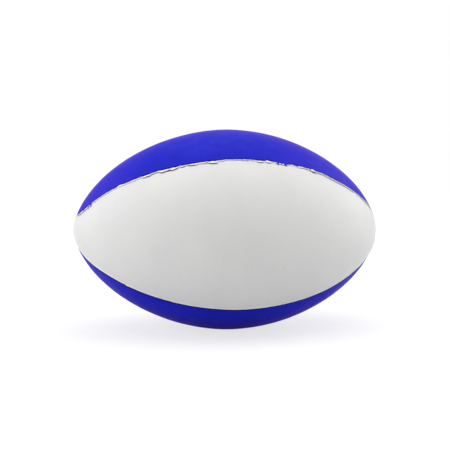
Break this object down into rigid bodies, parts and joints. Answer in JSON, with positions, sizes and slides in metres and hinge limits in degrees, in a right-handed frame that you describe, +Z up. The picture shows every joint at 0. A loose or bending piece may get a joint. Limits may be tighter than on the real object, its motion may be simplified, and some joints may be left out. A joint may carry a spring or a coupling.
{
  "type": "rugby ball",
  "caption": "Palm-sized rugby ball of soft moulded foam with rounded points, and white and blue sides that meet at thin raised lips along its length.",
  "frame": {"origin": "centre of the ball", "axes": "+X along the long axis, +Z up through the middle of the upper blue side, -Y out of the middle of the front white side"},
  "size_m": [0.0918, 0.06, 0.0598],
  "materials": {
    "foam": "soft open foam",
    "skin": "smooth dense foam skin, matte",
    "blue_coat": "flexible sprayed coat, matte, fine orange peel",
    "white_coat": "flexible sprayed coat, matte, fine orange peel",
    "bare_lip": "torn thin edge of skin and coat, satin"
  },
  "bodies": {
    "root": {"foam_core": "foam", "moulded_skin": "skin", "blue_coat_top": "blue_coat", "white_coat_front": "white_coat", "blue_coat_bottom": "blue_coat", "white_coat_rear": "white_coat", "lip_front_top": "bare_lip", "lip_front_bottom": "bare_lip", "lip_rear_bottom": "bare_lip", "lip_rear_top": "bare_lip"}
  },
  "joints": []
}
